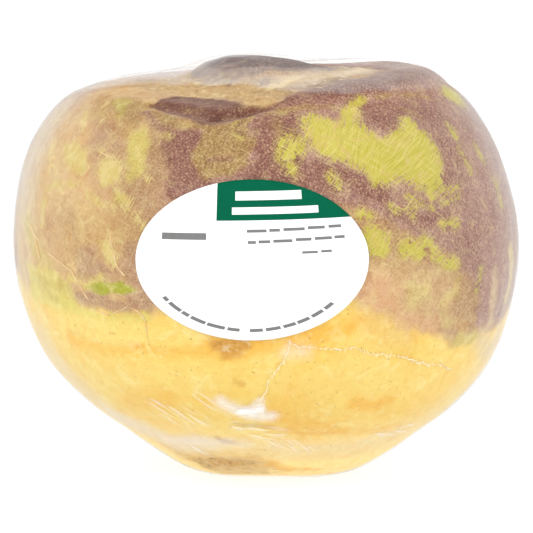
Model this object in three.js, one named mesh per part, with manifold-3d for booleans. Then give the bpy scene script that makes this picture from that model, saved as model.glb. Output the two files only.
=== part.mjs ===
// A rutabaga in a tight clear shrink film, with an oval paper label stuck to the film.
// Millimetres, +Z up. The origin is on the standing surface, under the middle of the object.
// The label faces -Y, and +X is to its right.

import * as THREE from 'three';
import { mergeVertices } from 'three/addons/utils/BufferGeometryUtils.js';
import Module from 'manifold-3d';

const wasm = await Module();
wasm.setup();

// Driving dimensions
const BODY_RADIUS = 61.3;        // root at its widest ring, before its lobes
const WIDEST_HEIGHT = 56;
const ROOT_TOP = 102;            // flat cut of the leaf neck
const FOOT_RADIUS = 16;          // small flat spot that the root stands on
const NECK_RADIUS = 9;           // flat cut of the leaf neck
const RIM_RADIUS = 38;           // crest of the shoulders round the neck
const RIM_HEIGHT = 97.4;

const FOOT_SHIFT = 2.2;          // foot, towards +X
const NECK_SHIFT = -3.4;         // leaf neck, along X
const SHOULDER_SHIFT = -1.2;     // everything above the widest ring, along X
const RIM_TILT = 0.018;          // rise of the rim for each millimetre towards +X
const NOTCH_AZIMUTH = -112;      // degrees from +X, of the dip in the front of the rim
const NOTCH_SPREAD = 24;         // degrees to each side
const ROOT_NOTCH = 4.6;          // depth of the dip
const FILM_NOTCH = 3.6;          // the film sags into it, and not all the way

const FILM_THICKNESS = 0.4;
const GAP = 0.4;                 // left between root, film and label
const FILM_OFFSET = FILM_THICKNESS + GAP;
const VENT_RADIUS = 3;           // punched hole that lets air out as the film shrinks
const VENT_HEIGHT = 68;

const LABEL_WIDTH = 57;          // laid flat
const LABEL_HEIGHT = 38;
const LABEL_THICKNESS = 0.3;
const LABEL_CENTRE_HEIGHT = 60;
const LABEL_AZIMUTH = -3.6;      // degrees from -Y towards +X
const LABEL_TURN = 1.2;          // degrees, its right end up

const SEGMENTS = 56;             // round the upright axis
const ROWS = 32;                 // along each half outline

const smoothstep = THREE.MathUtils.smoothstep;
const degrees = THREE.MathUtils.degToRad;
const hump = (distance, width) => Math.exp(-((distance / width) ** 2));

// Radius and height of the body's outline, from beside the foot up to the outer side of the rim.
const BODY_OUTLINE = [
  [20.5, 2], [25.2, 4.4], [30.6, 7.7], [37.2, 12], [44.4, 17.2], [51, 24], [56.2, 32.5],
  [59.9, 44], [BODY_RADIUS, WIDEST_HEIGHT], [59.8, 69], [56.6, 80], [52, 88.3], [46, 94.2],
];

// Half outline from the middle of the foot to the middle of the neck: up the body, over the crown.
function halfOutline(body, crown, bottom, top) {
  const toPoint = ([radius, height]) => new THREE.Vector2(radius, height);
  const outline = new THREE.Path();
  outline.moveTo(0, bottom);
  outline.lineTo(FOOT_RADIUS, bottom);
  outline.splineThru([...body, ...crown].map(toPoint));
  outline.splineThru([toPoint([NECK_RADIUS, top])]);
  outline.lineTo(0, top);
  return outline;
}

// The crown dips round the neck.
function rootOutline() {
  const crown = [[RIM_RADIUS, RIM_HEIGHT], [32.5, 96.4], [28, 94.3], [23, 94], [17.5, 96.6], [12.5, 100.4]];
  return halfOutline(BODY_OUTLINE, crown, FILM_OFFSET, ROOT_TOP);
}

// The film stands off the body by an offset, and runs straight over the dip round the neck.
function filmOutline(offset) {
  const standOff = ([radius, height]) => {
    const out = new THREE.Vector2(radius, height - WIDEST_HEIGHT).setLength(offset);
    return [radius + out.x, height + out.y];
  };
  const crown = [[RIM_RADIUS, RIM_HEIGHT], [31, 98.4], [22, 99.8], [14, 101.3]];
  const raised = crown.map(([radius, height]) => [radius, height + offset]);
  return halfOutline(BODY_OUTLINE.map(standOff), raised, FILM_OFFSET - offset, ROOT_TOP + offset);
}

// What makes the turned shape a grown one. Film and root share it, so they stay clear of each other.
function grow(point, notchDepth) {
  const azimuth = Math.atan2(point.y, point.x);
  const radius = Math.hypot(point.x, point.y);
  const middle = Math.sin(Math.PI * THREE.MathUtils.clamp(point.z / ROOT_TOP, 0, 1)) ** 0.8;
  const lobes = 0.013 * Math.cos(2 * azimuth)
    + 0.012 * Math.cos(3 * azimuth - degrees(90))
    + 0.006 * Math.cos(5 * azimuth - degrees(60));
  const nearFoot = 1 - smoothstep(point.z, 1, 14);
  const squareness = 0.06 * (1 - Math.cos(4 * azimuth)) * nearFoot;
  const swell = (1 + lobes * middle) * (1 + squareness);
  const fromNotch = Math.atan2(
    Math.sin(azimuth - degrees(NOTCH_AZIMUTH)),
    Math.cos(azimuth - degrees(NOTCH_AZIMUTH)),
  );
  const inNotch = hump(fromNotch, degrees(NOTCH_SPREAD)) * hump(radius - RIM_RADIUS + 4, 11);
  const onRim = smoothstep(point.z, 70, 96) * smoothstep(radius, 12, 34);

  const grown = point.clone();
  grown.x *= swell;
  grown.y *= swell;
  grown.x += FOOT_SHIFT * (1 - smoothstep(point.z, 4, 48));
  grown.x += NECK_SHIFT * smoothstep(point.z, 92, 100) * hump(radius, 24);
  grown.x += SHOULDER_SHIFT * smoothstep(point.z, 52, 88);
  grown.z += RIM_TILT * point.x * onRim;
  grown.z -= notchDepth * inNotch * smoothstep(point.z, 78, 94);
  return grown;
}

function turnedShape(outline, notchDepth) {
  const geometry = new THREE.LatheGeometry(outline.getSpacedPoints(ROWS), SEGMENTS);
  geometry.rotateX(Math.PI / 2);
  const place = geometry.attributes.position;
  for (let i = 0; i < place.count; i++) {
    const point = new THREE.Vector3().fromBufferAttribute(place, i);
    place.setXYZ(i, ...grow(point, notchDepth));
  }
  return geometry;
}

function toSolid(geometry) {
  const bare = geometry.clone();
  bare.deleteAttribute('normal');
  bare.deleteAttribute('uv');
  const merged = mergeVertices(bare, 1e-4);
  return new wasm.Manifold(new wasm.Mesh({
    numProp: 3,
    vertProperties: new Float32Array(merged.attributes.position.array),
    triVerts: new Uint32Array(merged.index.array),
  }));
}

function toGeometry(solid) {
  const { vertProperties, triVerts } = solid.getMesh();
  const geometry = new THREE.BufferGeometry();
  geometry.setAttribute('position', new THREE.BufferAttribute(vertProperties, 3));
  geometry.setIndex(new THREE.BufferAttribute(triVerts, 1));
  geometry.computeVertexNormals();
  return geometry;
}

function makeRoot() {
  const material = new THREE.MeshStandardMaterial({ color: 0xb98a72, roughness: 0.6, metalness: 0 });
  return new THREE.Mesh(turnedShape(rootOutline(), ROOT_NOTCH), material);
}

function makeFilm() {
  const outside = toSolid(turnedShape(filmOutline(FILM_OFFSET), FILM_NOTCH));
  const inside = toSolid(turnedShape(filmOutline(GAP), FILM_NOTCH));
  const punch = new THREE.CylinderGeometry(VENT_RADIUS, VENT_RADIUS, 20, 24);
  punch.translate(0, BODY_RADIUS, VENT_HEIGHT);
  const film = outside.subtract(inside).subtract(toSolid(punch));
  const material = new THREE.MeshStandardMaterial({
    color: 0xf4f4f2, roughness: 0.12, metalness: 0, transparent: true, opacity: 0.25,
  });
  return new THREE.Mesh(toGeometry(film), material);
}

// Distance of the film's outside from the upright axis, at a height on the body.
function filmRadius(height) {
  const points = filmOutline(FILM_OFFSET).getSpacedPoints(240);
  const above = points.findIndex((point) => point.y > height && point.x > NECK_RADIUS);
  const [low, high] = [points[above - 1], points[above]];
  const share = (height - low.y) / (high.y - low.y);
  return THREE.MathUtils.lerp(low.x, high.x, share);
}

// An oval disc laid on the film: its own x and y run along the surface, and z stands off it.
function makeLabel() {
  const rings = [0, 0.2, 0.4, 0.6, 0.8, 1];
  const disc = [
    ...rings.map((share) => new THREE.Vector2(share, 0)),
    ...rings.toReversed().map((share) => new THREE.Vector2(share, LABEL_THICKNESS)),
  ];
  const geometry = new THREE.LatheGeometry(disc, 40);
  geometry.rotateX(Math.PI / 2);
  const place = geometry.attributes.position;
  const turn = degrees(LABEL_TURN);
  for (let i = 0; i < place.count; i++) {
    const across = place.getX(i) * LABEL_WIDTH / 2;
    const up = place.getY(i) * LABEL_HEIGHT / 2;
    const height = LABEL_CENTRE_HEIGHT + across * Math.sin(turn) + up * Math.cos(turn);
    const along = (across * Math.cos(turn) - up * Math.sin(turn)) / (BODY_RADIUS + FILM_OFFSET);
    const azimuth = degrees(-90 + LABEL_AZIMUTH) + along;
    const radius = filmRadius(height) + GAP + place.getZ(i);
    const flat = new THREE.Vector3(radius * Math.cos(azimuth), radius * Math.sin(azimuth), height);
    place.setXYZ(i, ...grow(flat, FILM_NOTCH));
  }
  const material = new THREE.MeshStandardMaterial({ color: 0xfdfdfb, roughness: 0.45, metalness: 0 });
  return new THREE.Mesh(geometry, material);
}

const rutabaga = new THREE.Group();
const pieces = { root: makeRoot(), shrink_film: makeFilm(), paper_label: makeLabel() };
for (const [name, mesh] of Object.entries(pieces)) {
  mesh.name = name;
  rutabaga.add(mesh);
}

// Brings the origin under the middle of the whole object.
const middle = new THREE.Box3().setFromObject(rutabaga).getCenter(new THREE.Vector3());
for (const mesh of rutabaga.children) mesh.position.set(-middle.x, -middle.y, 0);

export default rutabaga;
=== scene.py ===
import math

import bmesh
import bpy
import numpy as np
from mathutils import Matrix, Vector, noise
from mathutils.bvhtree import BVHTree


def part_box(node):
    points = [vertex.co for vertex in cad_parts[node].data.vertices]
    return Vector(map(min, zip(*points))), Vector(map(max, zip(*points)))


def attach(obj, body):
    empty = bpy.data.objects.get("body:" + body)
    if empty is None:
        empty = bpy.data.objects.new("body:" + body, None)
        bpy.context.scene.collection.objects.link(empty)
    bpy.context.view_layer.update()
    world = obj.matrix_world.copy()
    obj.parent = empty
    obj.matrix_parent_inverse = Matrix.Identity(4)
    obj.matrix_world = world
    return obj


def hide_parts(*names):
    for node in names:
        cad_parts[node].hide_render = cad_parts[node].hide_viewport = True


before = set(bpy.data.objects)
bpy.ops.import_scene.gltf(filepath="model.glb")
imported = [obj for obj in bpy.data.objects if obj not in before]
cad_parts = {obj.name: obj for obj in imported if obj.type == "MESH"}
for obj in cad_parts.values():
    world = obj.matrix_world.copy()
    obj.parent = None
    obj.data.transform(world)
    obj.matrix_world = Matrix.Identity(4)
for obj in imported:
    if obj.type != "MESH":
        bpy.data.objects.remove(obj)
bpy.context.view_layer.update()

scene = bpy.context.scene
mm = 0.001

# Places on the body are given as seen from a core point inside it: azimuth in degrees from the
# label's side towards its right, and latitude in degrees above the level of the core.
rootLow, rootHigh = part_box("root")
coreShare = 0.5355           # of the root's height
core = np.array([0, 0, rootLow.z + coreShare * (rootHigh.z - rootLow.z)])
girth = 62 * mm              # usual distance from the core to the skin
alongDegree = 1.08           # mm along the skin for one degree
castFrom = 0.2               # metres from the core, well outside the film


def tone(red, green, blue):
    # a screen colour, 0 to 255, as the linear colour that shaders take
    return (*[((c / 255 + 0.055) / 1.055) ** 2.4 for c in (red, green, blue)], 1)


def ink(red, green, blue):
    # the skin colour that looks like this screen colour through the film, in this light
    return (*[max((c - 0.035) / 1.16, 0.004) for c in tone(red, green, blue)[:3]], 1)


def toward(azimuth, latitude):
    turn, rise = np.radians(azimuth), np.radians(latitude)
    return np.stack([np.sin(turn) * np.cos(rise), -np.cos(turn) * np.cos(rise), np.sin(rise)], axis=-1)


def ease(low, high, value):
    t = np.clip((value - low) / (high - low), 0, 1)
    return t * t * (3 - 2 * t)


def roundBody(azimuth, knots):
    # a value given at a few azimuths, joined smoothly all the way round
    at, values = np.array(knots, float).T
    return np.interp(azimuth, np.r_[at - 360, at, at + 360], np.r_[values, values, values])


def lineDistance(spots, a, b):
    # from each spot to the straight line between two points
    run = b - a
    share = np.clip((spots - a) @ run / max(run @ run, 1e-9), 0, 1)
    return np.linalg.norm(spots - a - share[:, None] * run, axis=1)


def strokeDistance(dirs, path):
    # millimetres along the surface from each direction to a path of (azimuth, latitude) points
    ends = toward(*np.array(path, float).T)
    if len(ends) == 1:
        ends = np.repeat(ends, 2, axis=0)
    nearest = np.full(len(dirs), np.inf)
    for a, b in zip(ends[:-1], ends[1:]):
        nearest = np.minimum(nearest, lineDistance(dirs, a, b))
    return nearest * girth / mm


def patchDistance(dirs, outline):
    # millimetres from each direction to the edge of a closed outline, below zero inside it
    corners = toward(*np.array(outline, float).T)
    middle = corners.mean(axis=0) / np.linalg.norm(corners.mean(axis=0))
    east = np.cross((0, 0, 1), middle)
    east /= np.linalg.norm(east)
    north = np.cross(middle, east)
    near = dirs @ middle > 0.4
    facing = dirs[near]
    flat = np.stack([facing @ east, facing @ north], axis=1) / (facing @ middle)[:, None]
    edge = np.stack([corners @ east, corners @ north], axis=1) / (corners @ middle)[:, None]
    nearest = np.full(len(flat), np.inf)
    inside = np.zeros(len(flat), bool)
    for a, b in zip(edge, np.roll(edge, -1, axis=0)):
        nearest = np.minimum(nearest, lineDistance(flat, a, b))
        run = b - a
        crosses = (a[1] > flat[:, 1]) != (b[1] > flat[:, 1])
        inside ^= crosses & (flat[:, 0] < a[0] + run[0] * (flat[:, 1] - a[1]) / (run[1] or 1e-9))
    result = np.full(len(dirs), 500.0)   # the far side, well away from any patch
    result[near] = np.where(inside, -nearest, nearest) * girth / mm
    return result


def grain(points, size, shift=0, octaves=1):
    # noise of about -1 to 1 at each point, with lumps of about that size
    offset = Vector((shift, shift * 1.7, shift * 0.3))
    return np.array([noise.fractal(Vector(p) / size + offset, 1, 2, octaves) for p in points])


def ballGrid(cells):
    # the faces of a cube blown up to a ball: even quads all over and no poles
    steps = np.tan(np.linspace(-1, 1, cells + 1) * math.pi / 4)
    index, corners, quads = {}, [], []
    for axis in range(3):
        for side in (0, cells):
            for i in range(cells):
                for j in range(cells):
                    quad = []
                    for a, b in ((i, j), (i + 1, j), (i + 1, j + 1), (i, j + 1)):
                        key = [a, b]
                        key.insert(axis, side)
                        key = tuple(key)
                        if key not in index:
                            index[key] = len(corners)
                            corners.append([steps[k] for k in key])
                        quad.append(index[key])
                    quads.append(quad if (side > 0) == (axis != 1) else quad[::-1])
    dirs = np.array(corners)
    return dirs / np.linalg.norm(dirs, axis=1)[:, None], quads


def azimuthOf(dirs):
    return np.degrees(np.arctan2(dirs[:, 0], -dirs[:, 1]))


def latitudeOf(dirs):
    return np.degrees(np.arcsin(np.clip(dirs[:, 2], -1, 1)))


def smoothTree(node):
    # a smoothed copy of a CAD node, to measure distances on
    copy = bpy.data.objects.new("measuring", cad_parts[node].data.copy())
    scene.collection.objects.link(copy)
    welded = bmesh.new()
    welded.from_mesh(copy.data)
    bmesh.ops.remove_doubles(welded, verts=welded.verts, dist=0.002 * mm)
    welded.to_mesh(copy.data)
    welded.free()
    rounding = copy.modifiers.new("rounding", "SUBSURF")
    rounding.levels = rounding.render_levels = 2
    tree = BVHTree.FromObject(copy, bpy.context.evaluated_depsgraph_get())
    mesh = copy.data
    bpy.data.objects.remove(copy)
    bpy.data.meshes.remove(mesh)
    return tree


def outerDistance(tree, dirs):
    # how far from the core the outside of a shape lies
    middle = Vector(core)
    found = []
    for direction in map(Vector, dirs):
        hit = tree.ray_cast(middle + direction * castFrom, -direction)
        found.append((hit[0] - middle).length if hit[0] else np.nan)
    return np.array(found)


def neighbourSmooth(values, quads, rounds):
    edges = np.array([(q[k], q[(k + 1) % 4]) for q in quads for k in range(4)])
    count = np.bincount(edges[:, 0], minlength=len(values)).astype(float)
    for _ in range(rounds):
        total = np.bincount(edges[:, 0], weights=values[edges[:, 1]], minlength=len(values))
        values = 0.5 * values + 0.5 * total / count
    return values


def addPiece(name, points, faces):
    mesh = bpy.data.meshes.new(name)
    mesh.from_pydata([tuple(p) for p in points], [], faces)
    mesh.update()
    mesh.shade_smooth()
    piece = bpy.data.objects.new(name, mesh)
    scene.collection.objects.link(piece)
    return piece


def addFields(piece, **fields):
    # one value or colour for each point, for the material to read by its name
    for name, values in fields.items():
        kind, key = ("FLOAT_COLOR", "color") if np.ndim(values) == 2 else ("FLOAT", "value")
        layer = piece.data.attributes.new(name, kind, "POINT")
        layer.data.foreach_set(key, np.asarray(values, np.float32).ravel())


def addSkinUv(piece, dirs):
    # one unit is 100 mm along the skin, and the join is at the back
    azimuth, latitude = azimuthOf(dirs), latitudeOf(dirs)
    corners = np.empty(len(piece.data.loops), np.int32)
    piece.data.loops.foreach_get("vertex_index", corners)
    across = azimuth[corners].reshape(-1, 4)
    wide = across.max(axis=1) - across.min(axis=1) > 180
    across = np.where(wide[:, None] & (across < 0), across + 360, across).ravel()
    scale = math.radians(girth / (100 * mm))
    uv = piece.data.uv_layers.new(name="skin")
    uv.data.foreach_set("uv", np.stack([across * scale, latitude[corners] * scale], axis=1).ravel())


def startMaterial(name):
    material = bpy.data.materials.new(name)
    material.use_nodes = True
    material.node_tree.nodes.clear()
    return material, material.node_tree


def finishMaterial(tree, shader):
    output = put(tree, "ShaderNodeOutputMaterial")
    tree.links.new(shader.outputs[0], output.inputs["Surface"])


def put(tree, kind, values=None, **settings):
    node = tree.nodes.new(kind)
    for name, value in settings.items():
        setattr(node, name, value)
    for name, value in (values or {}).items():
        if isinstance(value, bpy.types.NodeSocket):
            tree.links.new(value, node.inputs[name])
        else:
            node.inputs[name].default_value = value
    return node


def feed(tree, kind, values=None, **settings):
    # the first output of a new node
    return put(tree, kind, values, **settings).outputs[0]


def calc(tree, operation, *values, clamp=False):
    values = dict(enumerate(values))
    return feed(tree, "ShaderNodeMath", values, operation=operation, use_clamp=clamp)


def times(tree, a, b, clamp=False):
    return calc(tree, "MULTIPLY", a, b, clamp=clamp)


def plus(tree, a, b):
    return calc(tree, "ADD", a, b)


def minus(tree, a, b):
    return calc(tree, "SUBTRACT", a, b)


def most(tree, a, b):
    return calc(tree, "MAXIMUM", a, b)


def blend(tree, factor, a, b, mode="MIX"):
    values = {0: factor, 6: a, 7: b}
    return put(tree, "ShaderNodeMix", values, data_type="RGBA", blend_type=mode).outputs[2]


def between(tree, value, low, high, start=0.0, end=1.0):
    values = {"Value": value, "From Min": low, "From Max": high, "To Min": start, "To Max": end}
    return feed(tree, "ShaderNodeMapRange", values, interpolation_type="SMOOTHSTEP")


def field(tree, name, output="Fac"):
    return put(tree, "ShaderNodeAttribute", attribute_name=name).outputs[output]


def speckle(tree, vector, size, detail=2.0, roughness=0.5, distortion=0.0):
    # noise whose lumps are about size millimetres; vector is in metres
    values = {"Vector": vector, "Scale": 1 / (size * mm), "Detail": detail,
              "Roughness": roughness, "Distortion": distortion}
    return put(tree, "ShaderNodeTexNoise", values).outputs["Fac"]


def streaks(tree, vector, turn, length, width, detail=2.0):
    # noise drawn out into scratches, with sizes in millimetres; vector is the skin's UV
    values = {"Vector": vector, "Rotation": (0, 0, math.radians(turn)),
              "Scale": (length / 100, width / 100, 1)}
    laid = feed(tree, "ShaderNodeMapping", values, vector_type="TEXTURE")
    values = {"Vector": laid, "Scale": 1.0, "Detail": detail}
    return put(tree, "ShaderNodeTexNoise", values).outputs["Fac"]


camera = {
    "elevation": 8,          # degrees, looking down
    "distance": 1.0,         # metres
    "aimHeight": 50.5 * mm,
    "frameWidth": 131.7 * mm,
}

studio = {
    "worldStrength": 1.0,
    "lamps": [   # name, place, power in watts, side in metres
        ("key", (-0.55, -0.75, 0.75), 4.5, 0.5),
        ("fill", (0.8, -0.5, 0.45), 2.5, 0.6),
    ],
    "lampAim": Vector((0, 0, 0.05)),
    "floorHalf": 3,          # metres
    "floorGlow": 0.8,
}


def addCamera():
    data = bpy.data.cameras.new("camera")
    data.lens = data.sensor_width * camera["distance"] / camera["frameWidth"]
    data.clip_end = 20
    view = bpy.data.objects.new("camera", data)
    slope = math.radians(camera["elevation"])
    back, up = camera["distance"] * math.cos(slope), camera["distance"] * math.sin(slope)
    view.location = (0, -back, camera["aimHeight"] + up)
    view.rotation_euler = (math.pi / 2 - slope, 0, 0)
    scene.collection.objects.link(view)
    scene.camera = view


def addLamp(name, place, power, size):
    data = bpy.data.lights.new(name, "AREA")
    data.energy = power
    data.size = size
    lamp = bpy.data.objects.new(name, data)
    lamp.location = place
    lamp.rotation_euler = (studio["lampAim"] - Vector(place)).to_track_quat("-Z", "Y").to_euler()
    lamp.visible_glossy = False
    scene.collection.objects.link(lamp)


def addStudio():
    world = bpy.data.worlds.new("studio")
    world.use_nodes = True
    background = world.node_tree.nodes["Background"]
    background.inputs["Color"].default_value = (1, 1, 1, 1)
    background.inputs["Strength"].default_value = studio["worldStrength"]
    scene.world = world
    for lamp in studio["lamps"]:
        addLamp(*lamp)
    half = studio["floorHalf"]
    corners = [(-half, -half, 0), (half, -half, 0), (half, half, 0), (-half, half, 0)]
    floor = addPiece("floor", corners, [(0, 1, 2, 3)])
    material, tree = startMaterial("floorPaper")
    # the paper glows a little, as a sheet lit from below does, so the shadow on it stays faint
    shader = put(tree, "ShaderNodeBsdfPrincipled", {"Roughness": 0.9})
    shader.inputs["Base Color"].default_value = (0.3, 0.3, 0.3, 1)
    shader.inputs["Emission Color"].default_value = (1, 1, 1, 1)
    shader.inputs["Emission Strength"].default_value = studio["floorGlow"]
    finishMaterial(tree, shader)
    floor.data.materials.append(material)
    scene.view_settings.view_transform = "Standard"


addCamera()
addStudio()
print("studio ready")


root = {
    "cells": 128,            # along each edge of the blown-up cube
    "smoothRounds": 3,       # takes out the CAD model's flat faces
    "relief": [   # depth in mm (below zero is a dent), width in mm, path
        (-1.7, 2.2, [(-40, 42.4), (-33, 41.6), (-25, 40.6), (-17, 39.2), (-11, 39), (-6, 40.4),
                     (0, 42.4)]),
        (0.5, 1.2, [(-36, 39.3), (-27, 37.8), (-20, 36.8), (-14, 35.4), (-9, 37.2), (-3, 39.3),
                    (0, 40.4)]),
        (-1.5, 0.9, [(-16.5, 38.6), (-14.8, 39.2)]),
        (-0.6, 0.6, [(-7, 37), (-8.8, 35.9), (-8.4, 34.6), (-6.6, 33.8)]),
        (-0.3, 1.1, [(-54, -15.5), (-42, -17), (-30, -17), (-18, -17.6)]),
        (-0.35, 1.6, [(-13, -15), (-9, -16.5), (-5, -15.5)]),
        (0.7, 3.0, [(-24, 52), (-18, 51)]),
        (0.6, 2.2, [(-8, 48), (-3, 49), (2, 51)]),
        (0.6, 2.4, [(12, 55), (22, 57), (32, 58)]),
        (0.5, 1.6, [(-34, 46), (-28, 45.4)]),
        (-0.7, 1.8, [(-12, 52), (-8, 53)]),
        (-0.6, 2.0, [(-25, -58), (-15, -59), (-5, -60)]),
        (0.6, 1.8, [(-24, -55), (-12, -55), (-4, -56.4)]),
        (0.7, 2.2, [(-44, -58), (-38, -60)]),
        (0.6, 2.0, [(12, -62), (24, -60)]),
        (0.5, 1.4, [(-15, -45.6), (-12, -45.6)]),
        (-0.5, 1.2, [(-8, -40), (4, -41), (18, -42.6)]),
        (-0.5, 1.4, [(-50, 24), (-52, 12), (-48, 4)]),
        (-0.3, 1.2, [(-27, 33), (-21, 24), (-18, 18)]),
    ],
}

# colours of the skin
inks = {
    "golden": ink(253, 216, 110),
    "butter": ink(254, 227, 134),
    "cream": ink(248, 224, 166),
    "orange": ink(250, 194, 80),
    "rust": ink(212, 150, 72),
    "beige": ink(220, 184, 132),
    "sand": ink(230, 208, 162),
    "peach": ink(224, 178, 136),
    "rose": ink(190, 152, 120),
    "mauve": ink(186, 148, 134),
    "plum": ink(172, 128, 116),
    "deepPlum": ink(150, 102, 90),
    "darkPlum": ink(124, 82, 70),
    "olive": ink(178, 146, 90),
    "bronze": ink(196, 156, 92),
    "tan": ink(206, 172, 122),
    "moss": ink(192, 180, 80),
    "lime": ink(216, 202, 108),
    "paleLime": ink(226, 208, 138),
    "ash": ink(142, 120, 114),
    "grape": ink(92, 60, 60),
    "leaf": ink(178, 180, 46),
    "spring": ink(230, 217, 118),
    "milk": ink(250, 232, 198),
    "straw": ink(240, 202, 132),
}

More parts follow.
